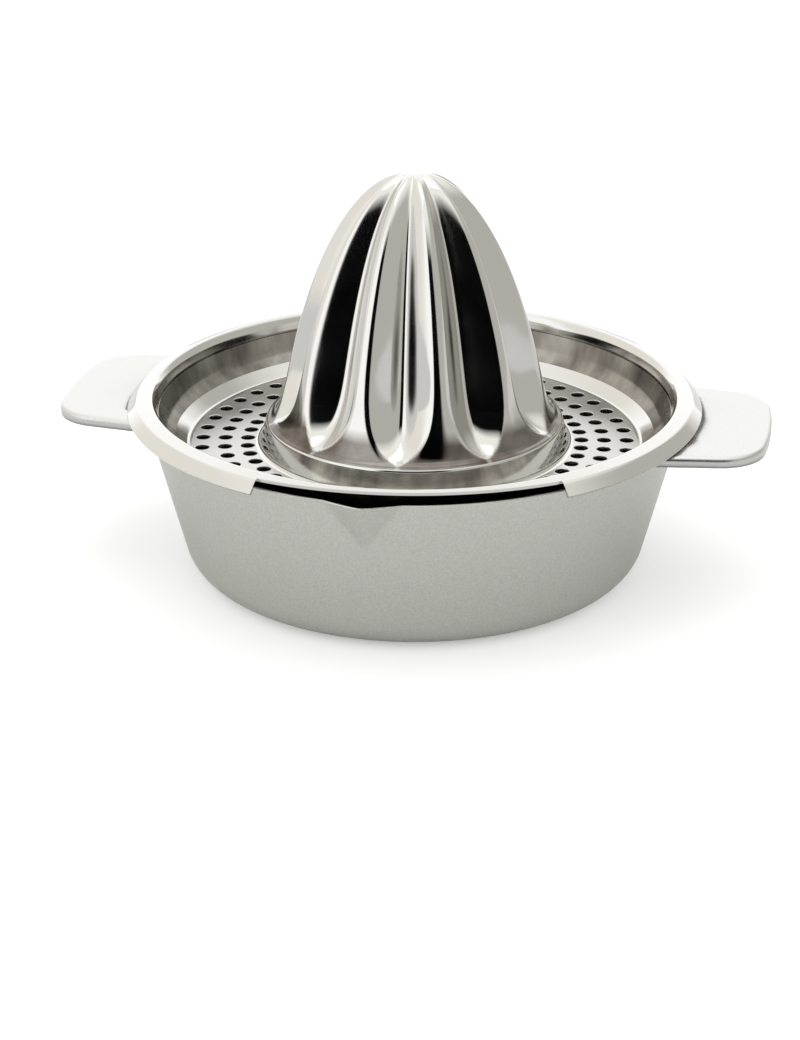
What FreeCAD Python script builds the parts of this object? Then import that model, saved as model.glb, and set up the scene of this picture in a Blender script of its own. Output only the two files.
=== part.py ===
import FreeCAD, Part
import math
import os
import Sketcher

# Hand citrus juicer of pressed stainless steel, in millimetres.
# The origin is the middle of the bowl's flat base, +Z is up, the pouring spout points
# to -Y and the two handles lie along +X and -X.

doc = FreeCAD.newDocument("citrus_juicer")

# Driving dimensions
SIZES = [
    # bowl
    ("bowl_height", 42.5),
    ("bowl_lip_radius", 68.6),
    ("bowl_base_radius", 57.8),
    ("bowl_corner_radius", 9.0),
    ("bowl_sheet", 0.7),
    ("spout_half_width", 10.5),
    ("spout_reach", 2.7),
    ("spout_drop", 12.0),
    ("spout_nose_width", 2.0),
    ("spout_root_depth", 1.0),
    # handles
    ("handle_reach", 90.5),
    ("handle_root_width", 54.0),
    ("handle_tip_width", 46.0),
    ("handle_tip_bulge", 1.8),
    ("handle_corner_radius", 12.0),
    ("handle_step_below_lip", 0.5),
    ("handle_edge_drop", 2.6),
    ("handle_fold_radius", 1.1),
    ("handle_sheet", 0.8),
    ("handle_root_drop", 5.0),
    ("handle_root_angle", 30.0),
    ("weld_gap", 0.1),
    # rim and skirt of the top
    ("seat_gap", 0.75),
    ("top_sheet", 0.7),
    ("top_turn", 9.1),
    ("skirt_radius", 73.0),
    ("rim_rise", 3.8),
    ("rim_outer_radius", 70.5),
    ("rim_edge_drop", 1.15),
    ("rim_inner_radius", 66.6),
    ("rim_wall_drop", 4.0),
    ("mouth_radius", 65.4),
    ("crease_radius", 0.42),
    ("rim_edge_radius", 0.98),
    ("notch_half_width", 35.2),
    ("notch_end_reach", 59.8),
    ("notch_middle_reach", 68.6),
    # dish and strainer floor
    ("band_radius", 61.3),
    ("floor_radius", 58.2),
    ("band_rise", 2.8),
    ("floor_drop", 14.25),
    ("hole_diameter", 3.5),
    ("hole_inner_row_radius", 42.9),
    ("hole_row_pitch", 5.8),
    ("holes_per_row", 48),
    # boss under the cone
    ("boss_foot_radius", 39.6),
    ("boss_top_radius", 37.9),
    ("boss_rise", 6.5),
    ("boss_crown_rise", 0.6),
    ("bend_radius", 1.4),
    # fluted cone
    ("cone_foot_radius", 33.9),
    ("cone_height", 63.3),
    ("cone_belly", 1.35),
    ("cone_nose", 2.15),
    ("flute_count", 10),
    ("flute_turn", -5.4),
    ("flute_depth_share", 0.225),
    ("flute_round_share", 0.075),
    ("flute_runout", 5.0),
    ("flare_reach", 2.9),
    ("flare_rise", 3.2),
    ("flute_foot_share", 0.05),
    ("ridge_land_angle", 0.4),
    ("ridge_foot_angle", 13.0),
    ("cone_levels", 16),
    ("cone_wall", 0.85),
]

sheet = doc.addObject("Spreadsheet::Sheet", "sizes")
for row, (alias, value) in enumerate(SIZES, start=1):
    sheet.set("A%d" % row, alias)
    sheet.set("B%d" % row, str(value))
    sheet.setAlias("B%d" % row, alias)
doc.recompute()


def size(expression):
    """Value of an expression in the sheet's aliases, in millimetres or degrees."""
    found = sheet.evalExpression(expression)
    return float(getattr(found, "Value", found))


def bound(expression, names=tuple(alias for alias, _ in SIZES)):
    """The same expression written for setExpression, with the sheet's name before each alias."""
    words = expression.replace("(", " ( ").replace(")", " ) ").split()
    return " ".join("sizes." + word if word in names else word for word in words)


# Sketch helpers

def origin_plane(body, role):
    for feature in body.Origin.OriginFeatures:
        if feature.Role == role:
            return feature
    raise ValueError(role)


def new_sketch(body, name, role="XZ_Plane"):
    sketch = body.newObject("Sketcher::SketchObject", name)
    sketch.AttachmentSupport = [(origin_plane(body, role), "")]
    sketch.MapMode = "FlatFace"
    return sketch


def fix_point(sketch, geometry, position, across, up):
    """Hold one point of a sketch at two sizes measured from the origin."""
    for kind, expression, axis in (("DistanceX", across, -2), ("DistanceY", up, -1)):
        if expression == "0":
            sketch.addConstraint(Sketcher.Constraint("PointOnObject", geometry, position, axis))
            continue
        index = sketch.addConstraint(
            Sketcher.Constraint(kind, -1, 1, geometry, position, size(expression)))
        sketch.setExpression("Constraints[%d]" % index, bound(expression))


def outline(sketch, corners, closed=True):
    """Outline through corners (across, up, radius or None), each written as an expression."""
    spots = [FreeCAD.Vector(size(across), size(up), 0) for across, up, _ in corners]
    count = len(corners)
    inner = range(count) if closed else range(1, count - 1)
    cuts = {}
    for i in inner:
        radius = corners[i][2]
        if radius is None:
            continue
        before = (spots[i - 1] - spots[i]).normalize()
        after = (spots[(i + 1) % count] - spots[i]).normalize()
        half = before.getAngle(after) / 2
        back = size(radius) / math.tan(half)
        middle = spots[i] + (before + after).normalize() * (size(radius) / math.sin(half))
        cuts[i] = (spots[i] + before * back, spots[i] + after * back, middle)
    lines = []
    for i in range(count if closed else count - 1):
        following = (i + 1) % count
        start = cuts[i][1] if i in cuts else spots[i]
        end = cuts[following][0] if following in cuts else spots[following]
        lines.append(sketch.addGeometry(Part.LineSegment(start, end)))
    for i in inner:
        across, up, radius = corners[i]
        first, second = lines[i - 1], lines[i]
        if radius is None:
            sketch.addConstraint(Sketcher.Constraint("Coincident", first, 2, second, 1))
            fix_point(sketch, second, 1, across, up)
            continue
        enter, leave, middle = cuts[i]
        anticlockwise = (enter - middle).cross(leave - middle).z > 0
        bulge = middle + ((enter + leave) * 0.5 - middle).normalize() * size(radius)
        arc = sketch.addGeometry(Part.Arc(enter, bulge, leave))
        enter_end, leave_end = (1, 2) if anticlockwise else (2, 1)
        sketch.addConstraint(Sketcher.Constraint("Tangent", first, 2, arc, enter_end))
        sketch.addConstraint(Sketcher.Constraint("Tangent", second, 1, arc, leave_end))
        index = sketch.addConstraint(Sketcher.Constraint("Radius", arc, size(radius)))
        sketch.setExpression("Constraints[%d]" % index, bound(radius))
        corner = sketch.addGeometry(Part.Point(spots[i]), True)
        sketch.addConstraint(Sketcher.Constraint("PointOnObject", corner, 1, first))
        sketch.addConstraint(Sketcher.Constraint("PointOnObject", corner, 1, second))
        fix_point(sketch, corner, 1, across, up)
    if not closed:
        fix_point(sketch, lines[0], 1, corners[0][0], corners[0][1])
        fix_point(sketch, lines[-1], 2, corners[-1][0], corners[-1][1])


def revolved(body, name, corners, kind="PartDesign::Revolution", angle="360"):
    """Turn a closed outline in the XZ plane about the vertical axis."""
    sketch = new_sketch(body, name + "_outline")
    outline(sketch, corners)
    turned = body.newObject(kind, name)
    turned.Profile = sketch
    turned.ReferenceAxis = (sketch, ["V_Axis"])
    turned.Midplane = True
    turned.setExpression("Angle", bound(angle))
    sketch.Visibility = False
    return turned


def combine(kind, name, base, tool):
    """Boolean of two objects, kept as an object of the document."""
    result = doc.addObject(kind, name)
    result.Base = base
    result.Tool = tool
    return result


# Bowl: a deep-drawn cup with a tapered wall and a V-shaped pouring spout pressed into its lip

WALL_SLOPE = "( bowl_lip_radius - bowl_base_radius ) / bowl_height"


def wall_radius(height):
    """Outer radius of the bowl's tapered wall at a height, as an expression."""
    return "bowl_base_radius + ( " + height + " ) * " + WALL_SLOPE


def bowl_form(name, inset, floor, top):
    """Solid cup inside the wall by inset, from the height floor to the height top."""
    body = doc.addObject("PartDesign::Body", name)
    revolved(body, name + "_cup", [
        ("0", floor, None),
        (wall_radius(floor) + " - " + inset, floor, "bowl_corner_radius - " + inset),
        (wall_radius(top) + " - " + inset, top, None),
        ("0", top, None),
    ])
    return body


def spout_form(name, inset, top):
    """Three-sided wedge that pushes the wall out at the lip and dies out on it below."""
    width = size("spout_half_width") - inset
    lip = size(wall_radius("bowl_height")) - inset
    nose = lip + size("spout_reach")
    slope = size(WALL_SLOPE)
    drop = size("spout_drop")
    over = top - size("bowl_height")
    foot = lip - drop * slope
    half_nose = size("spout_nose_width") / 2
    root = lip * math.cos(math.asin(width / lip)) - size("spout_root_depth")
    spread = (width - half_nose) / drop
    rise = size("spout_reach") / drop + slope
    top_edge = [
        (-width - over * spread, root),
        (-half_nose, nose + over * rise),
        (half_nose, nose + over * rise),
        (width + over * spread, root),
    ]
    low_edge = [(-half_nose, root - drop * slope), (-half_nose, foot), (half_nose, foot),
                (half_nose, root - drop * slope)]
    sections = []
    for edge, height in ((top_edge, top), (low_edge, size("bowl_height") - drop)):
        ring = [FreeCAD.Vector(x, -y, height) for x, y in edge]
        sections.append(Part.makePolygon(ring + ring[:1]))
    wedge = doc.addObject("Part::Feature", name)
    wedge.Shape = Part.makeLoft(sections, True, True)
    return wedge


cup_outside = bowl_form("cup_outside", "0", "0", "bowl_height")
cup_inside = bowl_form("cup_inside", "bowl_sheet", "bowl_sheet", "bowl_height + bowl_sheet")
spout_outside = spout_form("spout_outside", 0.0, size("bowl_height"))
spout_inside = spout_form("spout_inside", size("bowl_sheet"), size("bowl_height + bowl_sheet"))
bowl_outside = combine("Part::Fuse", "bowl_outside", cup_outside, spout_outside)
bowl_inside = combine("Part::Fuse", "bowl_inside", cup_inside, spout_inside)
bowl = combine("Part::Cut", "bowl", bowl_outside, bowl_inside)


# Handles: two stamped tabs with turned-down edges, each welded to the wall by a root flange

HANDLE_TOP = "bowl_height - handle_step_below_lip"


def tab_outline(inset):
    """Plan of one tab, seen from above, with its outer edge slightly bowed."""
    corner = "handle_corner_radius - " + inset
    tip = "handle_reach - handle_tip_bulge - " + inset
    root_side = "handle_root_width / 2 - " + inset
    tip_side = "handle_tip_width / 2 - " + inset
    inner = "bowl_base_radius"
    return [
        (inner, "-1 * ( " + root_side + " )", None),
        (tip, "-1 * ( " + tip_side + " )", corner),
        ("handle_reach - " + inset, "0", "handle_tip_width"),
        (tip, tip_side, corner),
        (inner, root_side, None),
    ]


def handle(name, turn):
    body = doc.addObject("PartDesign::Body", name)

    plan = new_sketch(body, name + "_plan", "XY_Plane")
    outline(plan, tab_outline("0"))
    blank = body.newObject("PartDesign::Pad", name + "_blank")
    blank.Profile = plan
    blank.setExpression("Length", bound(HANDLE_TOP))
    plan.Visibility = False

    under = new_sketch(body, name + "_under", "XY_Plane")
    outline(under, tab_outline("handle_sheet"))
    tray = body.newObject("PartDesign::Pocket", name + "_tray")
    tray.Profile = under
    tray.Reversed = True
    tray.setExpression("Length", bound(HANDLE_TOP + " - handle_sheet"))

    below = new_sketch(body, name + "_below", "XY_Plane")
    outline(below, [
        ("0", "-2 * handle_reach", None),
        ("2 * handle_reach", "-2 * handle_reach", None),
        ("2 * handle_reach", "2 * handle_reach", None),
        ("0", "2 * handle_reach", None),
    ])
    trim = body.newObject("PartDesign::Pocket", name + "_edge_trim")
    trim.Profile = below
    trim.Reversed = True
    trim.setExpression("Length", bound(HANDLE_TOP + " - handle_edge_drop"))

    wall_low = wall_radius("0") + " + weld_gap"
    wall_high = wall_radius("bowl_height") + " + weld_gap"
    revolved(body, name + "_wall_cut", [
        ("0", "0", None),
        (wall_low, "0", None),
        (wall_high, "bowl_height", None),
        ("0", "bowl_height", None),
    ], "PartDesign::Groove")

    flange_foot = HANDLE_TOP + " - handle_root_drop"
    shaped = revolved(body, name + "_root_flange", [
        (wall_radius(flange_foot) + " + weld_gap", flange_foot, None),
        (wall_radius(flange_foot) + " + weld_gap + handle_sheet", flange_foot, None),
        (wall_radius(HANDLE_TOP) + " + weld_gap + handle_sheet", HANDLE_TOP, None),
        (wall_radius(HANDLE_TOP) + " + weld_gap", HANDLE_TOP, None),
    ], angle="handle_root_angle")
    doc.recompute()

    top = size(HANDLE_TOP)
    rim = []
    for number, edge in enumerate(shaped.Shape.Edges, start=1):
        box = edge.BoundBox
        level = abs(box.ZMin - top) < 0.01 and abs(box.ZMax - top) < 0.01
        if level and edge.CenterOfMass.x > size("bowl_lip_radius") + size("weld_gap") + 1:
            rim.append("Edge%d" % number)
    fold = body.newObject("PartDesign::Fillet", name + "_fold")
    fold.Base = (shaped, rim)
    fold.setExpression("Radius", bound("handle_fold_radius"))
    body.Tip = fold
    body.Placement = FreeCAD.Placement(
        FreeCAD.Vector(0, 0, 0), FreeCAD.Rotation(FreeCAD.Vector(0, 0, 1), turn))
    return body


handle_right = handle("handle_right", 0)
handle_left = handle("handle_left", 180)


# Top: one pressing of rim, dish, strainer floor and boss, with the fluted cone standing on it

SKIRT_EDGE = HANDLE_TOP + " + seat_gap"
CREST = SKIRT_EDGE + " + rim_rise"
FLOOR = CREST + " - floor_drop"
BOSS_EDGE = FLOOR + " + boss_rise"
CONE_FOOT = BOSS_EDGE + " + boss_crown_rise"

dish_line = doc.addObject("Sketcher::SketchObject", "dish_line")
dish_line.Placement = FreeCAD.Placement(
    FreeCAD.Vector(0, 0, 0), FreeCAD.Rotation(FreeCAD.Vector(1, 0, 0), 90))
outline(dish_line, [
    ("cone_foot_radius + flare_reach - 2 * top_sheet", CONE_FOOT, None),
    ("boss_top_radius", BOSS_EDGE, "bend_radius"),
    ("boss_foot_radius", FLOOR, "bend_radius"),
    ("floor_radius", FLOOR, "bend_radius"),
    ("band_radius", FLOOR + " + band_rise", "bend_radius"),
    ("mouth_radius", CREST + " - rim_wall_drop", "crease_radius"),
    ("rim_inner_radius", CREST, "bend_radius"),
    ("rim_outer_radius", CREST + " - rim_edge_drop", "rim_edge_radius"),
    ("skirt_radius", SKIRT_EDGE, None),
], closed=False)

dish_section = doc.addObject("Part::Offset2D", "dish_section")
dish_section.Source = dish_line
dish_section.Mode = "Skin"
dish_section.Join = "Intersection"
dish_section.Fill = True
dish_section.setExpression("Value", bound("-1 * top_sheet"))

dish_shell = doc.addObject("Part::Revolution", "dish_shell")
dish_shell.Source = dish_section
dish_shell.Axis = FreeCAD.Vector(0, 0, 1)
dish_shell.Angle = 360
dish_shell.Solid = True

dish = doc.addObject("PartDesign::Body", "dish")
dish.BaseFeature = dish_shell

first_holes = new_sketch(dish, "first_holes", "XY_Plane")
for row_number in range(3):
    across = "hole_inner_row_radius + %d * hole_row_pitch" % row_number
    circle = first_holes.addGeometry(
        Part.Circle(FreeCAD.Vector(0, -size(across), 0), FreeCAD.Vector(0, 0, 1),
                    size("hole_diameter") / 2))
    fix_point(first_holes, circle, 3, "0", "-1 * ( " + across + " )")
    width = first_holes.addConstraint(
        Sketcher.Constraint("Diameter", circle, size("hole_diameter")))
    first_holes.setExpression("Constraints[%d]" % width, bound("hole_diameter"))
hole_cut = dish.newObject("PartDesign::Pocket", "hole_cut")
hole_cut.Profile = first_holes
hole_cut.Reversed = True
hole_cut.setExpression("Length", bound(CREST))
holes = dish.newObject("PartDesign::PolarPattern", "holes")
holes.Originals = [hole_cut]
holes.Axis = (first_holes, ["N_Axis"])
holes.setExpression("Occurrences", bound("holes_per_row"))
dish.Tip = holes

notch_plan = new_sketch(dish, "notch_plan", "XY_Plane")
corners = [("-1 * notch_half_width", "-1 * notch_end_reach"),
           ("-2 * notch_half_width", "-2 * notch_end_reach"),
           ("2 * notch_half_width", "-2 * notch_end_reach"),
           ("notch_half_width", "-1 * notch_end_reach")]
spots = [FreeCAD.Vector(size(across), size(up), 0) for across, up in corners]
middle = FreeCAD.Vector(0, -size("notch_middle_reach"), 0)
for start, end in zip(spots, spots[1:]):
    notch_plan.addGeometry(Part.LineSegment(start, end))
bow = notch_plan.addGeometry(Part.Arc(spots[0], middle, spots[3]))
for line in (0, 1):
    notch_plan.addConstraint(Sketcher.Constraint("Coincident", line, 2, line + 1, 1))
notch_plan.addConstraint(Sketcher.Constraint("Coincident", 0, 1, bow, 1))
notch_plan.addConstraint(Sketcher.Constraint("Coincident", 2, 2, bow, 2))
for geometry, position, (across, up) in ((0, 1, corners[0]), (1, 1, corners[1]),
                                         (2, 1, corners[2]), (2, 2, corners[3])):
    fix_point(notch_plan, geometry, position, across, up)
crown_point = notch_plan.addGeometry(Part.Point(middle), True)
notch_plan.addConstraint(Sketcher.Constraint("PointOnObject", crown_point, 1, bow))
fix_point(notch_plan, crown_point, 1, "0", "-1 * notch_middle_reach")
notch = dish.newObject("PartDesign::Pocket", "skirt_notch")
notch.Profile = notch_plan
notch.Reversed = True
notch.setExpression("Length", bound(CREST + " + rim_rise"))
dish.Tip = notch


# Cone: a tapering shell of V-shaped flutes between rounded ridges, running out into the boss

def cone_section(ridge, valley, land, height):
    """Level outline of the cone: ridge lands joined to the flutes by straight walls."""
    flutes = int(size("flute_count"))
    pitch = 2 * math.pi / flutes
    bend = ridge * size("flute_round_share")

    def spot(radius, angle, centre=(0.0, 0.0)):
        return FreeCAD.Vector(centre[0] + radius * math.cos(angle),
                              centre[1] + radius * math.sin(angle), height)

    edges = []
    for number in range(flutes):
        start = number * pitch
        middle = start + pitch / 2
        shoulder = spot(ridge - bend, start + land)
        trough = spot(valley + bend, middle)
        gap = trough - shoulder
        heading = math.atan2(gap.y, gap.x) + math.asin(2 * bend / gap.Length)
        turned = (heading - math.pi / 2 - start - land) % (2 * math.pi)
        square = start + land + turned
        wall_start = spot(bend, square, shoulder)
        wall_end = spot(-bend, square, trough)
        knee = spot(bend, square - turned / 2, shoulder)

        def mirrored(point):
            radius = math.hypot(point.x, point.y)
            return spot(radius, 2 * middle - math.atan2(point.y, point.x))

        edges.append(Part.Arc(spot(ridge, start - land), spot(ridge, start),
                              spot(ridge, start + land)))
        edges.append(Part.Arc(spot(ridge, start + land), knee, wall_start))
        edges.append(Part.LineSegment(wall_start, wall_end))
        edges.append(Part.Arc(wall_end, spot(valley, middle), mirrored(wall_end)))
        edges.append(Part.LineSegment(mirrored(wall_end), mirrored(wall_start)))
        edges.append(Part.Arc(mirrored(wall_start), mirrored(knee),
                              spot(ridge, start + pitch - land)))
    return Part.Wire([edge.toShape() for edge in edges])


def cone_sections(inset, top_inset):
    """Level outlines from the foot to the nose, drawn in by inset and lowered at the nose."""
    levels = int(size("cone_levels"))
    foot = size(CONE_FOOT) - size("top_sheet")
    tall = size("cone_height") + size("top_sheet")
    sections = []
    for level in range(levels):
        share = (1 - math.cos(math.pi * level / levels)) / 2
        ridge = size("cone_foot_radius") * (
            (1 - share ** size("cone_belly")) ** (1 / size("cone_nose")))
        ridge += size("flare_reach") * math.exp(-share * tall / size("flare_rise"))
        runout = math.exp(-share * tall / size("flute_runout"))
        filled = (1 - size("flute_foot_share")) * runout
        depth = ridge * size("flute_depth_share") * (1 - filled)
        land = math.radians(size("ridge_land_angle") + size("ridge_foot_angle") * runout ** 2)
        height = foot + share * (tall - top_inset)
        sections.append(cone_section(ridge - inset, ridge - depth - inset, land, height))
    return sections, Part.Vertex(0, 0, foot + tall - top_inset)


cone_faces = []
cone_rings = []
for inset, top_inset in ((0.0, 0.0), (size("cone_wall"), size("top_sheet"))):
    sections, nose = cone_sections(inset, top_inset)
    cone_faces += Part.makeLoft(sections, False, False).Faces
    cone_faces += Part.makeLoft([sections[-1], nose], False, True).Faces
    cone_rings.append(sections[0])
cone_faces.append(Part.makeFace(cone_rings, "Part::FaceMakerBullseye"))
cone_skin = Part.makeShell(cone_faces)
cone_skin.sewShape()
cone = doc.addObject("Part::Feature", "cone")
cone.Shape = Part.makeSolid(cone_skin)
cone.Placement = FreeCAD.Placement(
    FreeCAD.Vector(0, 0, 0), FreeCAD.Rotation(FreeCAD.Vector(0, 0, 1), size("flute_turn")))

reamer_strainer = combine("Part::Fuse", "reamer_strainer", dish, cone)
reamer_strainer.Placement = FreeCAD.Placement(
    FreeCAD.Vector(0, 0, 0), FreeCAD.Rotation(FreeCAD.Vector(0, 0, 1), size("top_turn")))


# Finished pieces

doc.recompute()

pieces = (bowl, handle_left, handle_right, reamer_strainer)
for piece in pieces:
    piece.Label = piece.Name

for item in doc.Objects:
    if "Invalid" in item.State or "Error" in item.State:
        raise RuntimeError("%s did not build: %s" % (item.Name, item.State))
for piece in pieces:
    shape = piece.Shape
    if shape.isNull() or not shape.isValid() or len(shape.Solids) != 1:
        raise RuntimeError("%s is not one sound solid" % piece.Label)

os.makedirs("parts", exist_ok=True)
for piece in pieces:
    piece.Shape.exportStep("parts/%s.step" % piece.Label)
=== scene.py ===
import bmesh
import math
import bpy
from mathutils import Matrix, Vector


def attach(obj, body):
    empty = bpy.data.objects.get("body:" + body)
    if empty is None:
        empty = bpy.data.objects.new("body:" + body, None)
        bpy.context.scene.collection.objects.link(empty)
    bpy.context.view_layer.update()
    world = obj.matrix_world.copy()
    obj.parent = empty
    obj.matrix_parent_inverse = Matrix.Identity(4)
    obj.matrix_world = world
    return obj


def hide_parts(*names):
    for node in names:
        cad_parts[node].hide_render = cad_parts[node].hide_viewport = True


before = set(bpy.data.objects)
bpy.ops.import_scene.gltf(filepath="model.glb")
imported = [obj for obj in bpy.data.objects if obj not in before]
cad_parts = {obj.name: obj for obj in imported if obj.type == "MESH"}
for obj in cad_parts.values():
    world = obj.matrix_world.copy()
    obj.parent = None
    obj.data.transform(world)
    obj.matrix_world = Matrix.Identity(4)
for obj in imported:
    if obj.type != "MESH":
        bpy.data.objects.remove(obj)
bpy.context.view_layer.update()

# Hand citrus juicer of pressed stainless steel: a satin bowl with two welded handles, and a
# polished top that lifts off, with a perforated dish round a fluted cone.  Sizes in the
# sections are millimetres, angles are degrees, and the meshes are written in metres.


# Bowl.  Deep-drawn from 0.7 mm stainless sheet: flat base, round corner, tapered wall, and a
# V-shaped spout pressed out of the cut lip.  Outside it has a fine satin finish, and inside it
# keeps the duller skin of the drawing, with its colour painted darker as shade.

MM = 0.001


def linear(code):
    """Linear colour of an sRGB hex code."""
    channels = [int(code[i:i + 2], 16) / 255 for i in (1, 3, 5)]
    return [c / 12.92 if c <= 0.04045 else ((c + 0.055) / 1.055) ** 2.4 for c in channels] + [1.0]


def plug(tree, node, inputs):
    """Sets or links inputs of a node by their names."""
    for name, value in inputs.items():
        if isinstance(value, bpy.types.NodeSocket):
            tree.links.new(value, node.inputs[name])
        else:
            node.inputs[name].default_value = value


def add(tree, kind, inputs=None, **settings):
    """New node of a tree, with its settings and with its inputs set or linked."""
    node = tree.nodes.new(kind)
    for name, value in settings.items():
        setattr(node, name, value)
    plug(tree, node, inputs or {})
    return node


def spread(tree, value, low, high, least, most):
    """A value mapped from one range to another and held inside it."""
    return add(tree, "ShaderNodeMapRange", {"Value": value, "From Min": low, "From Max": high,
                                            "To Min": least, "To Max": most}).outputs[0]


def blend(tree, factor, first, second):
    """Colour between two colours."""
    return add(tree, "ShaderNodeMix", {"Factor": factor, "A": first, "B": second},
               data_type="RGBA").outputs["Result"]


def noise(tree, scale, detail, vector=None, **inputs):
    """Noise in the piece's own coordinates, or in given ones."""
    vector = vector or add(tree, "ShaderNodeTexCoord").outputs["Object"]
    return add(tree, "ShaderNodeTexNoise", {"Vector": vector, "Scale": scale, "Detail": detail,
                                            **inputs}).outputs[0]


def bumped(tree, height, strength, distance):
    """Normal bent by a height."""
    return add(tree, "ShaderNodeBump", {"Height": height, "Strength": strength,
                                        "Distance": distance}).outputs[0]


def new_material(name):
    """Material with a Principled BSDF linked to its output, its tree and that shader."""
    material = bpy.data.materials.new(name)
    material.use_nodes = True
    tree = material.node_tree
    tree.nodes.clear()
    shader = add(tree, "ShaderNodeBsdfPrincipled")
    add(tree, "ShaderNodeOutputMaterial", {"Surface": shader.outputs[0]})
    return material, tree, shader


def rounded(corners, step=12):
    """Points of a polyline whose corners (across, up, radius) are rounded, one per step degrees."""
    points = []
    for i, (across, up, radius) in enumerate(corners):
        corner = Vector((across, up))
        if not radius or i in (0, len(corners) - 1):
            points.append(corner)
            continue
        back = (Vector(corners[i - 1][:2]) - corner).normalized()
        on = (Vector(corners[i + 1][:2]) - corner).normalized()
        half = back.angle(on) / 2
        centre = corner + (back + on).normalized() * (radius / math.sin(half))
        start = corner + back * (radius / math.tan(half)) - centre
        end = corner + on * (radius / math.tan(half)) - centre
        turn = start.angle_signed(end)
        pieces = max(2, round(abs(math.degrees(turn)) / step))
        for k in range(pieces + 1):
            points.append(centre + Matrix.Rotation(-turn * k / pieces, 2) @ start)
    return [(p.x, p.y) for p in points]


def spaced(points, gap, above=-math.inf):
    """The polyline with no step over gap, except where it lies below a height."""
    fine = [points[0]]
    for (a, b), (c, d) in zip(points, points[1:]):
        parts = max(1, math.ceil(math.hypot(c - a, d - b) / gap)) if max(b, d) > above else 1
        fine += [(a + (c - a) * k / parts, b + (d - b) * k / parts) for k in range(1, parts + 1)]
    return fine


def turned(sections, angles, closed=False, whole=True):
    """Vertices and faces of a section turned about Z, with one list of points for each angle."""
    vertices = [(across * math.sin(angle), -across * math.cos(angle), up)
                for section, angle in zip(sections, angles) for across, up in section]
    count = len(sections[0])
    rings = len(angles)
    faces = []
    for j in range(rings if whole else rings - 1):
        here, there = j * count, (j + 1) % rings * count
        for i in range(count if closed else count - 1):
            following = (i + 1) % count
            faces.append((here + i, there + i, there + following, here + following))
    return vertices, faces


SHARP = math.radians(33)
WELD = 0.000002


def new_piece(name, vertices, faces, materials, body=None, *nodes):
    """Mesh in the frame's place, that rides on a body and stands for CAD nodes.

    Doubles are merged, which closes the poles and seams, and closed shells face outwards."""
    mesh = bpy.data.meshes.new(name)
    mesh.from_pydata([(x * MM, y * MM, z * MM) for x, y, z in vertices], [], faces)
    shell = bmesh.new()
    shell.from_mesh(mesh)
    bmesh.ops.remove_doubles(shell, verts=shell.verts, dist=WELD)
    if all(edge.is_manifold for edge in shell.edges):
        bmesh.ops.recalc_face_normals(shell, faces=shell.faces)
    shell.to_mesh(mesh)
    shell.free()
    mesh.polygons.foreach_set("use_smooth", [True] * len(mesh.polygons))
    mesh.set_sharp_from_angle(angle=SHARP)
    for material in materials:
        mesh.materials.append(material)
    piece = bpy.data.objects.new(name, mesh)
    bpy.context.scene.collection.objects.link(piece)
    if body:
        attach(piece, body)
        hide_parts(*nodes)
    return piece


BOWL_HEIGHT = 42.5
LIP_RADIUS = 68.6
BASE_RADIUS = 57.8
SHEET = 0.7
BASE_CORNER = 9.0
LIP_ROUND = 0.2
BEND_STEP = 6
SPOUT_HALF_WIDTH = 8.6
SPOUT_REACH = 2.9
SPOUT_DROP = 12.4
SPOUT_NOSE = 0.8
SPOUT_CREASE = 0.035
SPOUT_SPREAD = 14.0
SPOUT_FROM = 20.0
SPOUT_STEP = 0.4
WALL_STEP = 2.0

taper = (LIP_RADIUS - BASE_RADIUS) / BOWL_HEIGHT
bowl_outside = rounded([(0, 0, 0), (BASE_RADIUS, 0, BASE_CORNER),
                        (LIP_RADIUS - LIP_ROUND * taper, BOWL_HEIGHT - LIP_ROUND, 0),
                        (LIP_RADIUS - 0.25, BOWL_HEIGHT, 0)], BEND_STEP)
bowl_inside = rounded([(LIP_RADIUS - SHEET, BOWL_HEIGHT - 0.05, 0),
                       (BASE_RADIUS - SHEET + SHEET * taper, SHEET, BASE_CORNER - SHEET),
                       (0, SHEET, 0)], BEND_STEP)
bowl_section = spaced(bowl_outside + bowl_inside, 0.7, above=1.0)


def spout_push(across, up, angle):
    """How far the wall of the bowl is pushed out at one place, by a flat-sided V."""
    if up <= SPOUT_FROM:
        return 0
    side = math.sqrt((across * angle) ** 2 + SPOUT_NOSE ** 2) - SPOUT_NOSE
    rise = 1 - (BOWL_HEIGHT - up) / SPOUT_DROP - side / SPOUT_HALF_WIDTH
    return SPOUT_REACH * (rise + math.sqrt(rise * rise + SPOUT_CREASE ** 2)) / 2


angles = []
angle = -180.0
while angle < 179.99:
    angles.append(math.radians(angle))
    angle += SPOUT_STEP if -SPOUT_SPREAD <= angle < SPOUT_SPREAD - 0.01 else WALL_STEP
bowl_sections = [[(across + spout_push(across, up, angle), up) for across, up in bowl_section]
                 for angle in angles]

satin_steel, tree, shader = new_material("satin_stainless_steel")
# Satin: fine-brushed sheet, so highlights are broad and the grain is a soft speckle, 0.5 mm
# across, with slow clouds where the sheet was handled.
grain = noise(tree, 2000.0, 3.0)
cloud = noise(tree, 30.0, 4.0)
plug(tree, shader, {
    "Metallic": 1.0,
    "Base Color": blend(tree, spread(tree, grain, 0.35, 0.65, 0.0, 1.0), linear("#BFC0B9"),
                        linear("#CBCCC5")),
    "Roughness": spread(tree, cloud, 0.3, 0.7, 0.34, 0.42),
    "Normal": bumped(tree, grain, 0.6, 0.0002),
})

painted_shade_drawn_steel, tree, shader = new_material("drawn_stainless_steel_with_painted_shade")
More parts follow.
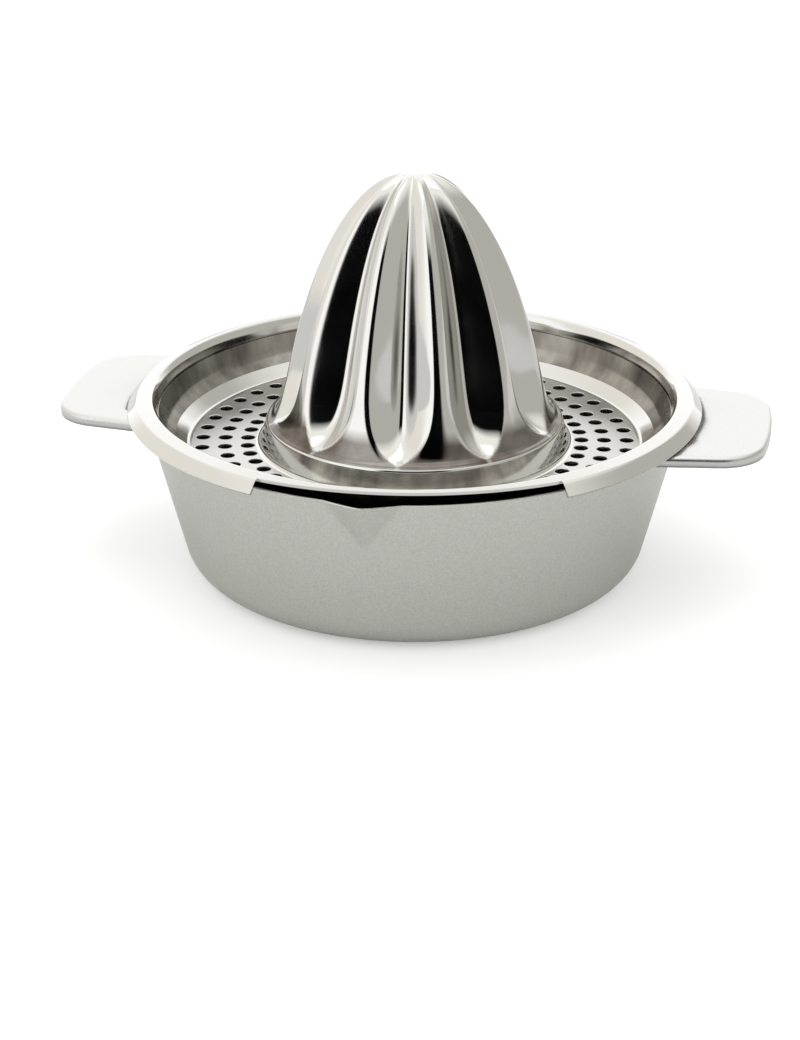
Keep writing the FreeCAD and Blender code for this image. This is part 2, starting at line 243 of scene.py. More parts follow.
# The drawn skin is duller than satin, with faint rings that the tool left; its darker colour is
# painted shade.
place = add(tree, "ShaderNodeTexCoord").outputs["Object"]
rings = add(tree, "ShaderNodeTexWave", {"Vector": place, "Scale": 160.0, "Distortion": 0.4},
            wave_type="RINGS", rings_direction="Z")
plug(tree, shader, {
    "Metallic": 1.0,
    "Base Color": blend(tree, noise(tree, 900.0, 3.0), linear("#6E6E6A"), linear("#7C7C78")),
    "Roughness": 0.38,
    "Normal": bumped(tree, rings.outputs["Fac"], 0.08, 0.00005),
})

bowl = new_piece("juice_bowl", *turned(bowl_sections, angles), (satin_steel, painted_shade_drawn_steel), "bowl",
                 "bowl")
# Faces inside the bowl, and its floor, take the drawn skin whose colour is painted darker as shade.
for face in bowl.data.polygons:
    towards_axis = face.normal.x * face.center.x + face.normal.y * face.center.y < 0
    floor_inside = face.center.z < 0.3 * BOWL_HEIGHT * MM and face.normal.z > 0.5
    face.material_index = 1 if towards_axis or floor_inside else 0


# Handles.  Two stamped tabs of 0.8 mm sheet with turned-down edges, spot-welded under the bowl's
# lip by a curved root flange.  They are near-white satin, flat on top, with a soft fold all round.

HANDLE_TOP = 42.0
HANDLE_REACH = 90.5
ROOT_HALF = 27.0
TIP_HALF = 23.0
TIP_BULGE = 1.8
TAB_CORNER = 12.0
EDGE_DROP = 2.6
FOLD = 1.1
FOLD_STEPS = 6
FLAT_INSETS = (6.0, 2.6, 1.6)
HANDLE_SHEET = 0.8
FLANGE_DROP = 5.0
FLANGE_HALF_ANGLE = 15.0
FLANGE_STEPS = 32
ROOT_STEPS = 24
WELD_GAP = 0.1
EDGE_POINTS = 72


def wall_radius(height):
    """Radius at which the handles meet the bowl's wall."""
    return BASE_RADIUS + height * taper + WELD_GAP


def tab_edge(inset):
    """Plan of the tab's edge from its root on one side round the tip to the other."""
    corner = TAB_CORNER - inset
    bow = [(HANDLE_REACH - inset - TIP_BULGE * (y / TIP_HALF) ** 2, y, 0)
           for y in (-8, -4, 0, 4, 8)]
    return rounded([(BASE_RADIUS, -ROOT_HALF + inset, 0),
                    (HANDLE_REACH - TIP_BULGE - inset, -TIP_HALF + inset, corner), *bow,
                    (HANDLE_REACH - TIP_BULGE - inset, TIP_HALF - inset, corner),
                    (BASE_RADIUS, ROOT_HALF - inset, 0)], BEND_STEP)


def seated(path, height):
    """The path cut where it meets the bowl's wall, as evenly spread points."""
    outer = [p for p in spaced(path, 0.25) if math.hypot(*p) >= wall_radius(height)]
    lengths = [0.0]
    for a, b in zip(outer, outer[1:]):
        lengths.append(lengths[-1] + math.dist(a, b))
    points = []
    for k in range(EDGE_POINTS):
        want = lengths[-1] * k / (EDGE_POINTS - 1)
        i = min(max(j for j, at in enumerate(lengths) if at <= want + 1e-9), len(outer) - 2)
        share = (want - lengths[i]) / (lengths[i + 1] - lengths[i])
        points.append((outer[i][0] + (outer[i + 1][0] - outer[i][0]) * share,
                       outer[i][1] + (outer[i + 1][1] - outer[i][1]) * share))
    return points


def handle_sheet():
    """Outer skin of the tab, from the middle of its top over the fold, and of its root flange."""
    rows = [(inset, HANDLE_TOP) for inset in FLAT_INSETS]
    for k in range(FOLD_STEPS + 1):
        turn = math.radians(90 * k / FOLD_STEPS)
        rows.append((FOLD * (1 - math.sin(turn)), HANDLE_TOP - FOLD * (1 - math.cos(turn))))
    rows.append((0.0, HANDLE_TOP - EDGE_DROP))
    paths = [seated(tab_edge(inset), height) for inset, height in rows]
    vertices = [(x, y, height) for path, (_, height) in zip(paths, rows) for x, y in path]
    faces = []
    for j in range(len(rows) - 1):
        for i in range(EDGE_POINTS - 1):
            here, below = j * EDGE_POINTS + i, (j + 1) * EDGE_POINTS + i
            faces.append((here, below, below + 1, here + 1))
    half = math.atan2(paths[0][-1][1], paths[0][-1][0])
    first = len(vertices)
    for k in range(1, ROOT_STEPS):
        bearing = half * (1 - 2 * k / ROOT_STEPS)
        vertices.append((wall_radius(HANDLE_TOP) * math.cos(bearing),
                         wall_radius(HANDLE_TOP) * math.sin(bearing), HANDLE_TOP))
    faces.append(tuple(range(EDGE_POINTS)) + tuple(range(first, len(vertices))))
    first = len(vertices)
    for k in range(FLANGE_STEPS + 1):
        bearing = math.radians(FLANGE_HALF_ANGLE * (2 * k / FLANGE_STEPS - 1))
        for height in (HANDLE_TOP - FLANGE_DROP, HANDLE_TOP - HANDLE_SHEET):
            across = wall_radius(height) + HANDLE_SHEET
            vertices.append((across * math.cos(bearing), across * math.sin(bearing), height))
    for k in range(FLANGE_STEPS):
        low = first + 2 * k
        faces.append((low, low + 2, low + 3, low + 1))
    return vertices, faces


handle_steel, tree, shader = new_material("pale_satin_stainless_steel")
# The same satin, finer and paler: the flat top throws back the light behind it.
grain = noise(tree, 1500.0, 3.0)
plug(tree, shader, {
    "Metallic": 1.0,
    "Base Color": linear("#C4C4C2"),
    "Roughness": spread(tree, grain, 0.3, 0.7, 0.26, 0.36),
    "Normal": bumped(tree, grain, 0.1, 0.00006),
})

skin, skin_faces = handle_sheet()
for name, side in (("handle_right", 1), ("handle_left", -1)):
    handle = new_piece("tab_" + name, [(x * side, y * side, z) for x, y, z in skin], skin_faces,
                       (handle_steel,), "bowl", name)
    wall = handle.modifiers.new("sheet", "SOLIDIFY")
    wall.thickness = HANDLE_SHEET * MM
    wall.offset = -1.0
    wall.use_even_offset = True


# Perforated floor.  The flat ring of the top's dish: 0.7 mm sheet punched with three rows of
# round holes in line with each other, each edge eased by the punch.  Softly polished.

TOP_TURN = 9.1
SKIRT_EDGE = 42.75
CREST = SKIRT_EDGE + 3.8
FLOOR = CREST - 14.25
FLOOR_INNER = 40.75
FLOOR_OUTER = 57.2
HOLE_RADIUS = 1.75
HOLE_EDGE = 0.2
HOLE_EDGE_STEPS = 3
HOLE_ROWS = 3
FIRST_ROW = 42.9
ROW_PITCH = 5.8
HOLES_PER_ROW = 48
HOLE_STEPS = 28
ROUND_STEPS = 480
LEVEL = 0.999
BUFFED = linear("#C8C7C4")


def polished(name):
    """Material of the polished top, with its tree, its shader and its slow haze."""
    material, tree, shader = new_material(name)
    # Buffed to a mirror: sharp reflections, with faint haze where it has been wiped and a slow
    # waviness left by the press.
    haze = noise(tree, 60.0, 5.0, Roughness=0.6)
    plug(tree, shader, {
        "Metallic": 1.0,
        "Base Color": BUFFED,
        "Roughness": spread(tree, haze, 0.35, 0.75, 0.06, 0.14),
        "Normal": bumped(tree, noise(tree, 90.0, 1.0), 0.25, 0.0003),
    })
    return material, tree, shader, haze


polished_steel = polished("polished_stainless_steel")[0]

floor_steel, tree, shader = new_material("soft_polished_stainless_steel")
# A softer sheen than the rest: the photo shows the floor in an even grey whose edges are soft.
plug(tree, shader, {
    "Metallic": 1.0,
    "Base Color": linear("#BCBBB8"),
    "Roughness": spread(tree, noise(tree, 60.0, 5.0), 0.35, 0.75, 0.24, 0.32),
})


def new_tree(name, inputs):
    """Geometry node tree with named inputs, its input node and its output node."""
    tree = bpy.data.node_groups.new(name, "GeometryNodeTree")
    tree.interface.new_socket("Geometry", in_out="OUTPUT", socket_type="NodeSocketGeometry")
    for label, (kind, _) in inputs.items():
        tree.interface.new_socket(label, in_out="INPUT", socket_type="NodeSocket" + kind)
    return tree, add(tree, "NodeGroupInput"), add(tree, "NodeGroupOutput")


def apply_tree(piece, tree, inputs):
    """Runs a node tree on a piece with its inputs set, and keeps the result as a plain mesh."""
    modifier = piece.modifiers.new(tree.name, "NODES")
    modifier.node_group = tree
    for item in tree.interface.items_tree:
        if item.in_out == "INPUT" and item.name in inputs and inputs[item.name][1] is not None:
            modifier[item.identifier] = inputs[item.name][1]
    bpy.context.view_layer.update()
    evaluated = piece.evaluated_get(bpy.context.evaluated_depsgraph_get())
    result = bpy.data.meshes.new_from_object(evaluated)
    piece.modifiers.remove(modifier)
    piece.data = result


def calc(operation, *terms):
    """Math node of the present tree."""
    node = add(tree, "ShaderNodeMath", operation=operation)
    for socket, term in zip(node.inputs, terms):
        if isinstance(term, bpy.types.NodeSocket):
            tree.links.new(term, socket)
        else:
            socket.default_value = term
    return node.outputs[0]


def end_tree(geometry):
    """Ends the present tree: its instances made real and its material set."""
    single = add(tree, "GeometryNodeRealizeInstances", {"Geometry": geometry})
    dressed = add(tree, "GeometryNodeSetMaterial", {"Geometry": single.outputs[0],
                                                    "Material": value["Steel"]})
    tree.links.new(dressed.outputs[0], out.inputs[0])


floor_inputs = {
    "Hole radius": ("Float", HOLE_RADIUS * MM),
    "Rounded edge": ("Float", HOLE_EDGE * MM),
    "First row radius": ("Float", FIRST_ROW * MM),
    "Row pitch": ("Float", ROW_PITCH * MM),
    "Rows": ("Int", HOLE_ROWS),
    "Holes per row": ("Int", HOLES_PER_ROW),
    "Inner radius": ("Float", FLOOR_INNER * MM),
    "Outer radius": ("Float", FLOOR_OUTER * MM),
    "Thickness": ("Float", SHEET * MM),
    "Height": ("Float", FLOOR * MM),
    "Turn": ("Float", math.radians(TOP_TURN - 90)),
    "Steel": ("Material", floor_steel),
}
tree, given, out = new_tree("perforated_floor", floor_inputs)
value = given.outputs
row_index = add(tree, "GeometryNodeInputIndex").outputs[0]
row_radius = calc("ADD", value["First row radius"],
                  calc("MULTIPLY", row_index, value["Row pitch"]))
row_scale = add(tree, "ShaderNodeCombineXYZ", {"X": row_radius, "Y": row_radius, "Z": 1.0})
row_seeds = add(tree, "GeometryNodeMeshLine", {"Count": value["Rows"], "Offset": (0, 0, 0)})
one_row = add(tree, "GeometryNodeMeshCircle", {"Vertices": value["Holes per row"],
                                               "Radius": 1.0})
rows = add(tree, "GeometryNodeInstanceOnPoints", {
    "Points": row_seeds.outputs[0], "Instance": one_row.outputs[0],
    "Scale": row_scale.outputs[0]})
centres = add(tree, "GeometryNodeRealizeInstances", {"Geometry": rows.outputs[0]}).outputs[0]


def sheet_face(hole_radius, height, up):
    """Flat ring of sheet with every hole left open, facing up or down."""
    hole = add(tree, "GeometryNodeCurvePrimitiveCircle", {"Resolution": HOLE_STEPS,
                                                          "Radius": hole_radius})
    all_holes = add(tree, "GeometryNodeInstanceOnPoints", {"Points": centres,
                                                           "Instance": hole.outputs[0]})
    join = add(tree, "GeometryNodeJoinGeometry")
    tree.links.new(all_holes.outputs[0], join.inputs[0])
    for edge in ("Inner radius", "Outer radius"):
        ring = add(tree, "GeometryNodeCurvePrimitiveCircle", {"Resolution": ROUND_STEPS,
                                                              "Radius": value[edge]})
        tree.links.new(ring.outputs[0], join.inputs[0])
    curves = add(tree, "GeometryNodeRealizeInstances", {"Geometry": join.outputs[0]})
    fill = add(tree, "GeometryNodeFillCurve", {"Curve": curves.outputs[0]})
    moved = add(tree, "GeometryNodeSetPosition", {
        "Geometry": fill.outputs[0],
        "Offset": add(tree, "ShaderNodeCombineXYZ", {"Z": height}).outputs[0]})
    if up:
        return moved.outputs[0]
    return add(tree, "GeometryNodeFlipFaces", {"Mesh": moved.outputs[0]}).outputs[0]


def strip(top_radius, bottom_radius, top_height, bottom_height, steps, outward):
    """Band between two circles about the Z axis, facing away from the axis or towards it."""
    band = add(tree, "GeometryNodeMeshCone", {
        "Vertices": steps, "Side Segments": 1, "Radius Top": top_radius,
        "Radius Bottom": bottom_radius, "Depth": calc("SUBTRACT", top_height, bottom_height)},
        fill_type="NONE")
    moved = add(tree, "GeometryNodeSetPosition", {
        "Geometry": band.outputs["Mesh"],
        "Offset": add(tree, "ShaderNodeCombineXYZ", {"Z": bottom_height}).outputs[0]})
    smooth = add(tree, "GeometryNodeSetShadeSmooth", {"Geometry": moved.outputs[0],
                                                      "Shade Smooth": True})
    if outward:
        return smooth.outputs[0]
    return add(tree, "GeometryNodeFlipFaces", {"Mesh": smooth.outputs[0]}).outputs[0]


below = calc("MULTIPLY", value["Thickness"], -1.0)
mouth = add(tree, "GeometryNodeJoinGeometry")
levels = []
for k in range(HOLE_EDGE_STEPS + 1):
    turn = math.radians(90 * k / HOLE_EDGE_STEPS)
    levels.append((calc("ADD", value["Hole radius"],
                        calc("MULTIPLY", value["Rounded edge"], 1 - math.sin(turn))),
                   calc("MULTIPLY", value["Rounded edge"], math.cos(turn) - 1)))
levels.append((value["Hole radius"], below))
for (top_radius, top_height), (low_radius, low_height) in zip(levels, levels[1:]):
    tree.links.new(strip(top_radius, low_radius, top_height, low_height, HOLE_STEPS, False),
                   mouth.inputs[0])
mouths = add(tree, "GeometryNodeInstanceOnPoints", {"Points": centres,
                                                    "Instance": mouth.outputs[0]})
whole = add(tree, "GeometryNodeJoinGeometry")
for part in (sheet_face(levels[0][0], 0.0, True),
             sheet_face(value["Hole radius"], below, False),
             strip(value["Outer radius"], value["Outer radius"], 0.0, below, ROUND_STEPS, True),
             strip(value["Inner radius"], value["Inner radius"], 0.0, below, ROUND_STEPS, False),
             add(tree, "GeometryNodeRealizeInstances", {"Geometry": mouths.outputs[0]}).outputs[0]):
    tree.links.new(part, whole.inputs[0])
raised = add(tree, "GeometryNodeTransform", {
    "Geometry": whole.outputs[0],
    "Translation": add(tree, "ShaderNodeCombineXYZ", {"Z": value["Height"]}).outputs[0],
    "Rotation": add(tree, "ShaderNodeCombineXYZ", {"Z": value["Turn"]}).outputs[0]})
joined = add(tree, "GeometryNodeMergeByDistance", {"Geometry": raised.outputs[0],
                                                   "Distance": WELD})
end_tree(joined.outputs[0])

floor_ring = new_piece("strainer_floor", [(0, 0, 0)], [], (floor_steel,))
apply_tree(floor_ring, tree, floor_inputs)
floor_ring.data.set_sharp_from_angle(angle=SHARP)
for face in floor_ring.data.polygons:
    face.use_smooth = abs(face.normal.z) < LEVEL
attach(floor_ring, "reamer_top")
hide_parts("reamer_strainer")


# Dish wall, rim and skirt.  The outer part of the same pressing: a bright band, the dish's
# curved wall, a sharp crease under a rolled lip, a flat rim and a skirt turned down outside
# the bowl.  The skirt is cut away over the spout, which leaves the pouring gap.

SKIRT_RADIUS = 73.0
RIM_INNER = 66.6
RIM_OUTER = 70.5
RIM_FALL = 1.15
NOTCH_HALF_ANGLE = 30.47
NOTCH_START = 68.0
NOTCH_MIDDLE = 68.8
NOTCH_END = 69.8
NOTCH_POINTS = 5
CREASE_UP = CREST - 4.0
CREASE_WIDTH = 0.4
CREASE_DEPTH = 0.6
BAND_OUTER = 61.3
WALL_OUTER = 66.0
POINT_GAP = 0.8


def rim_height(across):
    """Height of the rim's flat top, which falls a little outwards."""
    return CREST - RIM_FALL * (across - RIM_INNER) / (RIM_OUTER - RIM_INNER)


inner_corners = [(FLOOR_OUTER, FLOOR, 0), (58.2, FLOOR, 1.4), (BAND_OUTER, FLOOR + 2.8, 0.5),
                 (63.6, FLOOR + 5.0, 3.0), (65.2, CREASE_UP - CREASE_WIDTH, 0)]
lip_corners = [(65.2 + CREASE_DEPTH, CREASE_UP - CREASE_WIDTH, 0),
               (65.3 + CREASE_DEPTH, CREASE_UP, 0), (65.5, CREASE_UP + 0.15, 0),
               (65.9, CREST - 1.9, 1.5), (67.0, CREST - 0.12, 1.2),
               (NOTCH_START, rim_height(NOTCH_START), 0)]
outer_corners = [(NOTCH_END, rim_height(NOTCH_END), 0), (RIM_OUTER, CREST - RIM_FALL, 2.0),
                 (SKIRT_RADIUS, SKIRT_EDGE, 0)]


def offset_inward(points):
    """The polyline moved to its right-hand side by the sheet's thickness."""
    moved = []
    for i, (a, b) in enumerate(points):
        before = points[max(i - 1, 0)]
        after = points[min(i + 1, len(points) - 1)]
        along = Vector((after[0] - before[0], after[1] - before[1])).normalized()
        moved.append((a + along.y * SHEET, b - along.x * SHEET))
    return moved


upper_inner = (spaced(rounded(inner_corners, BEND_STEP), POINT_GAP)
               + spaced(rounded(lip_corners, BEND_STEP), POINT_GAP)[:-1])
plain_inner = inner_corners[:-1] + [(65.4, CREASE_UP, 0.42)] + lip_corners[-3:]
lower_inner = offset_inward(spaced(rounded(plain_inner, 9), POINT_GAP))
lower_inner[0] = (FLOOR_OUTER, FLOOR - SHEET)
lower_inner = [point for point in lower_inner if point[0] < NOTCH_START - 0.05]
upper_outer = spaced(rounded(outer_corners, BEND_STEP), POINT_GAP)[1:]
lower_outer = offset_inward([outer_corners[0][:2]] + upper_outer)[1:]
SHEET_UPRIGHT = SHEET / math.cos(math.atan(RIM_FALL / (RIM_OUTER - RIM_INNER)))


def plateau(limit, drop):
    """Points of the rim's flat top from where the notch may start to a limit."""
    across = [NOTCH_START + (limit - NOTCH_START) * k / NOTCH_POINTS
              for k in range(NOTCH_POINTS + 1)]
    return [(a, rim_height(a) - drop) for a in across]


def rim_section(limit, skirt):
    """Closed section of the rim cut upright at a limit, or with its skirt."""
    low = lower_inner + plateau(limit, SHEET_UPRIGHT) + (lower_outer if skirt else [])
    high = upper_inner + plateau(limit, 0.0) + (upper_outer if skirt else [])
    return low + list(reversed(high))


pitch = 360 / ROUND_STEPS
span = 2 * NOTCH_HALF_ANGLE
rest_steps = round((360 - span) / pitch)
rest_angles = [math.radians(TOP_TURN + NOTCH_HALF_ANGLE + (360 - span) * k / rest_steps)
               for k in range(rest_steps + 1)]
notch_steps = round(span / pitch)
notch_turns = [NOTCH_HALF_ANGLE * (2 * k / notch_steps - 1) for k in range(notch_steps + 1)]
notch_angles = [math.radians(TOP_TURN + turn) for turn in notch_turns]
notch_limits = [NOTCH_MIDDLE + (NOTCH_END - NOTCH_MIDDLE) * (turn / NOTCH_HALF_ANGLE) ** 2
                for turn in notch_turns]

high_end = [plateau(NOTCH_END, 0.0)[-1]] + upper_outer
low_end = [plateau(NOTCH_END, SHEET_UPRIGHT)[-1]] + lower_outer
rim_vertices, rim_faces = [], []
for more, more_faces in (
        turned([rim_section(NOTCH_END, True)] * len(rest_angles), rest_angles, True, False),
        turned([rim_section(limit, False) for limit in notch_limits], notch_angles, True, False),
        turned([high_end, low_end], [rest_angles[0]] * 2, whole=False),
        turned([high_end, low_end], [rest_angles[-1]] * 2, whole=False)):
    first = len(rim_vertices)
    rim_vertices += more
    rim_faces += [tuple(first + i for i in face) for face in more_faces]

wall_steel, tree, shader = new_material("stainless_steel_with_painted_dark_reflection")
# The dish wall's dark brownish colour, in soft upright streaks, is painted reflection of dark
# surroundings that the steep polished wall would mirror.  It is also left rougher than the rest.
place = add(tree, "ShaderNodeTexCoord").outputs["Object"]
drawn = add(tree, "ShaderNodeMapping", {"Vector": place, "Scale": (1.0, 1.0, 0.25)})
streak = noise(tree, 80.0, 4.0, drawn.outputs[0], Roughness=0.55)
plug(tree, shader, {
    "Metallic": 1.0,
    "Base Color": blend(tree, spread(tree, streak, 0.35, 0.65, 0.0, 1.0), linear("#5C5752"),
                        linear("#A29E97")),
    "Roughness": spread(tree, streak, 0.35, 0.65, 0.16, 0.3),
})

rim = new_piece("dish_rim", rim_vertices, rim_faces, (polished_steel, wall_steel), "reamer_top",
                "reamer_strainer")
# Faces of the dish wall take the steel painted dark as reflection.
for face in rim.data.polygons:
    across = math.hypot(face.center.x, face.center.y)
    on_wall = BAND_OUTER * MM < across < WALL_OUTER * MM and face.center.z < CREASE_UP * MM
    if on_wall and face.normal.z > -0.1:
        face.material_index = 1


# Fluted cone and its boss.  The middle of the pressing: a drawn cone with ten V-shaped flutes
# between rounded ridges.  Its foot flares out in a hollow curve to the edge of a low boss, and the
# flutes run out in rounded tips on that curve.

BOSS_EDGE = FLOOR + 6.5
BOSS_TOP_RADIUS = 37.9
BOSS_FOOT_RADIUS = 39.6
CONE_FOOT = BOSS_EDGE + 0.6
CONE_RADIUS = 33.9
CONE_HEIGHT = 63.3
CONE_SHEET = 0.85
BELLY = 1.35
NOSE = 2.15
FLARE_REACH = 2.9
FLARE_RISE = 3.2
FLUTES = 10
FLUTE_TURN = -5.4


def cone_line(inset, steps, lowest):
    """Ridge line of the cone from its apex down to a height, drawn in by the sheet."""
    line = []
    for k in range(steps + 1):
        share = (1 + math.cos(math.pi * k / steps)) / 2
        radius = CONE_RADIUS * (1 - share ** BELLY) ** (1 / NOSE)
        up = CONE_FOOT + share * (CONE_HEIGHT - inset)
        flare = FLARE_REACH * math.exp(-(up - CONE_FOOT + SHEET) / FLARE_RISE)
        if up > lowest:
            line.append((max(radius - inset, 0) + (flare if k else 0), up))
    return line


outer_line = cone_line(0, 110, CONE_FOOT + 0.45)
inner_line = cone_line(CONE_SHEET, 44, CONE_FOOT + 0.3)
boss_line = rounded([(*outer_line[-1], 0), (36.7, CONE_FOOT - 0.2, 0.9),
                     (BOSS_TOP_RADIUS, BOSS_EDGE, 1.2), (BOSS_FOOT_RADIUS, FLOOR, 1.4),
                     (FLOOR_INNER, FLOOR, 0)], 7)
boss_under = rounded([(FLOOR_INNER, FLOOR - SHEET, 0), (39.05, FLOOR - SHEET, 2.1),
                      (37.3, BOSS_EDGE - SHEET, 0.6), (36.2, CONE_FOOT - 0.9, 0.4),
                      (*inner_line[-1], 0)], 12)
cone_section = (outer_line + spaced(boss_line, 0.7)[1:] + boss_under[:-1]
                + list(reversed(inner_line)))
cone_angles = [math.radians(360 * k / ROUND_STEPS + TOP_TURN) for k in range(ROUND_STEPS)]

cone_steel, tree, shader, haze = polished("polished_stainless_steel_with_painted_dark_foot")
# Painted reflection: the hollow foot between the tips of the flutes is painted dark brownish,
# in smudges, for the dark surroundings that its steep faces would mirror.
foot = add(tree, "ShaderNodeAttribute", attribute_name="foot_shade").outputs["Fac"]
painted_dark_reflection = calc("MULTIPLY", foot, spread(tree, haze, 0.35, 0.65, 0.7, 1.0))
plug(tree, shader, {"Base Color": blend(tree, painted_dark_reflection, BUFFED, linear("#544B44"))})

cone = new_piece("fluted_cone", *turned([cone_section] * ROUND_STEPS, cone_angles),
                 (cone_steel,))

flute_inputs = {
    "Blank": ("Geometry", None),
    "Flutes": ("Int", FLUTES),
    "Turn": ("Float", math.radians(TOP_TURN + FLUTE_TURN)),
    "Depth share": ("Float", 0.225),
    "Valley round": ("Float", 0.06),
    "Ridge round": ("Float", 0.024),
    "Wall slope": ("Float", 1.03),
    "Foot height": ("Float", CONE_FOOT * MM),
    "Run-out": ("Float", 5.0 * MM),
    "Cap radius": ("Float", 3.0 * MM),
    "Painted dark foot": ("Float", 7.0 * MM),
    "Steel": ("Material", cone_steel),
}
tree, given, out = new_tree("press_flutes", flute_inputs)
value = given.outputs


def squared(term):
    """Square of a value in the present tree."""
    return calc("MULTIPLY", term, term)


spot = add(tree, "GeometryNodeInputPosition").outputs[0]
axis = add(tree, "ShaderNodeSeparateXYZ", {"Vector": spot}).outputs
radius = calc("SQRT", calc("ADD", squared(axis["X"]), squared(axis["Y"])))
bearing = calc("ARCTAN2", axis["X"], calc("MULTIPLY", axis["Y"], -1.0))
half_pitch = calc("DIVIDE", math.pi, value["Flutes"])
off_centre = calc("PINGPONG", calc("SUBTRACT", bearing, value["Turn"]), half_pitch)
slant = calc("SUBTRACT", calc("SQRT", calc("ADD", squared(off_centre),
                                           squared(value["Valley round"]))),
             value["Valley round"])
height = calc("MAXIMUM", calc("SUBTRACT", axis["Z"], value["Foot height"]), 0.0)
runout = calc("SUBTRACT", 1.0, calc("EXPONENT", calc("MULTIPLY", calc(
    "DIVIDE", height, value["Run-out"]), -1.0)))
cap = calc("DIVIDE", radius, value["Cap radius"])
fade = calc("SUBTRACT", 1.0, calc("EXPONENT", calc("MULTIPLY", squared(cap), -0.5)))
depth = calc("MULTIPLY", calc("MULTIPLY", value["Depth share"], runout), fade)
above = calc("SUBTRACT", depth, calc("MULTIPLY", value["Wall slope"], slant))
soft = calc("MULTIPLY", value["Ridge round"], calc("DIVIDE", depth, calc("ADD", depth, 0.03)))
press = calc("MULTIPLY", calc("ADD", above, calc("SQRT", calc("ADD", squared(above),
                                                              squared(soft)))), 0.5)
left = calc("SUBTRACT", 1.0, press)
pressed = add(tree, "ShaderNodeCombineXYZ", {"X": calc("MULTIPLY", axis["X"], left),
                                             "Y": calc("MULTIPLY", axis["Y"], left),
                                             "Z": axis["Z"]})
# Where the foot is painted dark as reflection: outside the flutes, low on the cone, above the
# boss's edge.
unpressed = spread(tree, above, -0.004, 0.006, 1.0, 0.0)
low = spread(tree, calc("DIVIDE", height, value["Painted dark foot"]), 0.55, 1.0, 1.0, 0.0)
crown = calc("GREATER_THAN", axis["Z"], BOSS_EDGE * MM - 0.0001)
shade = calc("MULTIPLY", calc("MULTIPLY", unpressed, low), crown)
shaded = add(tree, "GeometryNodeStoreNamedAttribute", {
    "Geometry": value["Blank"], "Name": "foot_shade", "Value": shade}, data_type="FLOAT",
    domain="POINT")
moved = add(tree, "GeometryNodeSetPosition", {"Geometry": shaded.outputs[0],
                                              "Position": pressed.outputs[0]})
end_tree(moved.outputs[0])
apply_tree(cone, tree, flute_inputs)
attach(cone, "reamer_top")
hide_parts("reamer_strainer")


# Table, surroundings and light.  A white table in a soft white surround.  A dark gap in it, on
# the side that the camera stands, gives the polished steel its black stripes.

CAMERA_SIDE = 10.3
CARD_DISTANCE = 450
CARD_HALF_WIDTH = 190
CARD_TOP = 150
TABLE_HALF = 4000
TABLE_GLOW = 0.32
MIRRORED_GLOW = 0.04
SURROUND_STRENGTH = 1.6

table, tree, shader = new_material("white_table")
# Matt white paint, with a little glow so that the camera sees it as pure white round the shadow.
path = add(tree, "ShaderNodeLightPath").outputs
glow = calc("ADD", calc("MULTIPLY", path["Is Camera Ray"], TABLE_GLOW),
            calc("MULTIPLY", path["Is Glossy Ray"], MIRRORED_GLOW))
plug(tree, shader, {"Base Color": linear("#F2F2F2"), "Roughness": 0.9, "Specular IOR Level": 0.1,
                    "Emission Color": linear("#FFFFFF"), "Emission Strength": glow})
ground = new_piece("table_top", [(x * TABLE_HALF, y * TABLE_HALF, 0) for x, y in
                                 ((-1, -1), (1, -1), (1, 1), (-1, 1))], [(0, 1, 2, 3)], (table,))

dark, tree, shader = new_material("dark_card")
# Black felt: it sends back next to no light.
plug(tree, shader, {"Base Color": linear("#0B0B0C"), "Roughness": 1.0,
                    "Specular IOR Level": 0.0})
bearing = math.radians(CAMERA_SIDE)
across = Vector((math.cos(bearing), math.sin(bearing)))
towards = Vector((math.sin(bearing), -math.cos(bearing)))
card_corners = []
for side, height in ((-1, 0.5), (1, 0.5), (1, CARD_TOP), (-1, CARD_TOP)):
    corner = towards * CARD_DISTANCE + across * side * CARD_HALF_WIDTH
    card_corners.append((corner.x, corner.y, height))
card = new_piece("dark_card", card_corners, [(0, 1, 2, 3)], (dark,))
card.visible_camera = False
card.visible_diffuse = False
card.visible_shadow = False

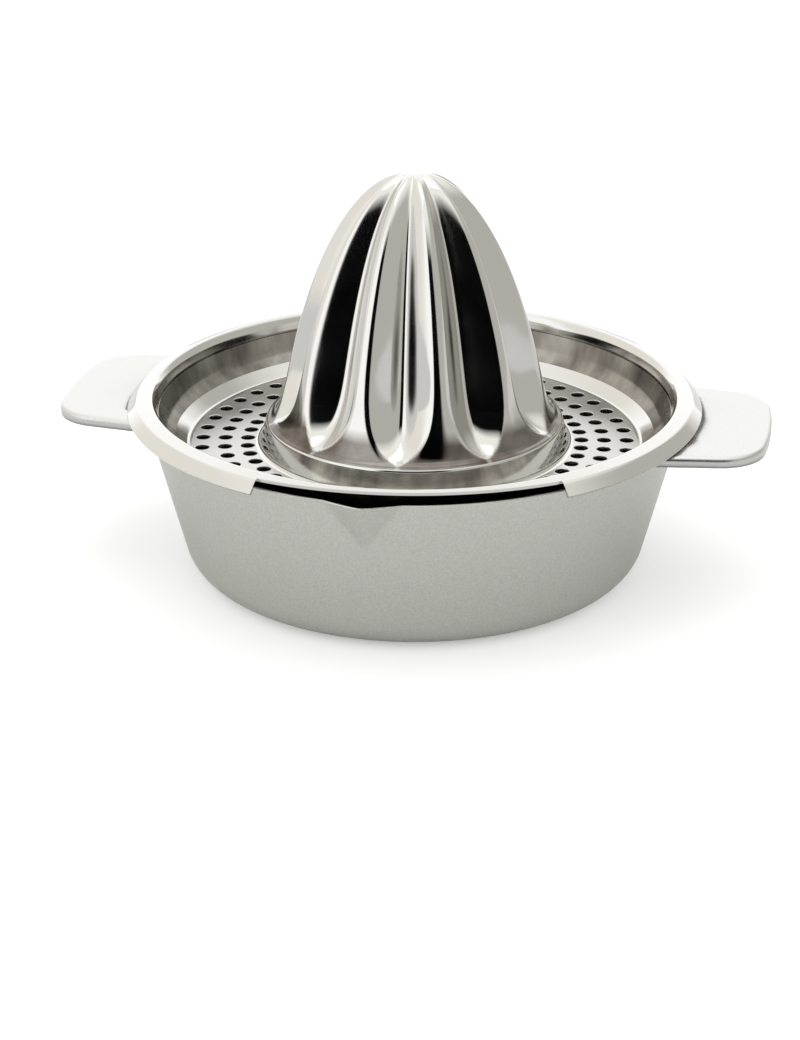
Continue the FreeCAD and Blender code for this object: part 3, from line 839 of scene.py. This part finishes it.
world = bpy.data.worlds.new("surround")
bpy.context.scene.world = world
world.use_nodes = True
world.cycles.sampling_method = "NONE"
tree = world.node_tree
tree.nodes.clear()
direction = add(tree, "ShaderNodeTexCoord").outputs["Generated"]
parts = add(tree, "ShaderNodeSeparateXYZ", {"Vector": direction}).outputs
bearing_node = calc("ARCTAN2", parts["X"], calc("MULTIPLY", parts["Y"], -1.0))
relative = calc("WRAP", calc("SUBTRACT", bearing_node, math.radians(CAMERA_SIDE)), math.pi,
                -math.pi)
share = calc("ADD", calc("DIVIDE", relative, 2 * math.pi), 0.5)
ring = add(tree, "ShaderNodeValToRGB", {"Fac": share})
stops = [(-180, "#FFFFFF"), (-152, "#FFFFFF"), (-138, "#E6E3DC"), (-82, "#E7E4DE"),
         (-70, "#FFFFFF"), (-33, "#FFFFFF"), (-25, "#0A0A0B"), (24, "#0A0A0B"), (31, "#B2B2AC"),
         (138, "#B4B3AD"), (152, "#FFFFFF"), (180, "#FFFFFF")]
ramp = ring.color_ramp
for degrees, colour in stops[1:-1]:
    stop = ramp.elements.new((degrees + 180) / 360)
    stop.color = linear(colour)
ramp.elements[0].color = linear(stops[0][1])
ramp.elements[len(stops) - 1].color = linear(stops[-1][1])
sky = blend(tree, spread(tree, parts["Z"], 0.62, 0.86, 0.0, 1.0), ring.outputs[0],
            linear("#F2F2EE"))
path = add(tree, "ShaderNodeLightPath").outputs
plain = calc("MAXIMUM", path["Is Camera Ray"], path["Is Diffuse Ray"])
shown = blend(tree, plain, sky, linear("#FFFFFF"))
strength = calc("SUBTRACT", SURROUND_STRENGTH, calc("MULTIPLY", plain, SURROUND_STRENGTH - 1))
background = add(tree, "ShaderNodeBackground", {"Color": shown, "Strength": strength})
add(tree, "ShaderNodeOutputWorld", {"Surface": background.outputs[0]})

key_data = bpy.data.lights.new("key_light", "AREA")
key_data.shape = "RECTANGLE"
key_data.size = 0.9
key_data.size_y = 0.7
key_data.energy = 1.0
key = bpy.data.objects.new("key_light", key_data)
bpy.context.scene.collection.objects.link(key)
key.location = (-0.1, 0.1, 1.2)
key.rotation_euler = (Vector((0, 0, 0.03)) - key.location).to_track_quat("-Z", "Y").to_euler()


# Camera.  Long lens, about 0.62 m away, a little right of the spout and 20 degrees above the rim.

camera_data = bpy.data.cameras.new("camera")
camera_data.sensor_width = 36.0
camera_data.lens = 83.93
camera = bpy.data.objects.new("camera", camera_data)
bpy.context.scene.collection.objects.link(camera)
camera.location = (0.10382, -0.57178, 0.26049)
look = Vector((-0.16988, 0.90213, -0.39661))
camera.rotation_mode = "QUATERNION"
camera.rotation_quaternion = look.to_track_quat("-Z", "Y") @ Matrix.Rotation(
    math.radians(-0.134), 3, "Z").to_quaternion()
bpy.context.scene.camera = camera

bpy.context.scene.view_settings.view_transform = "Standard"
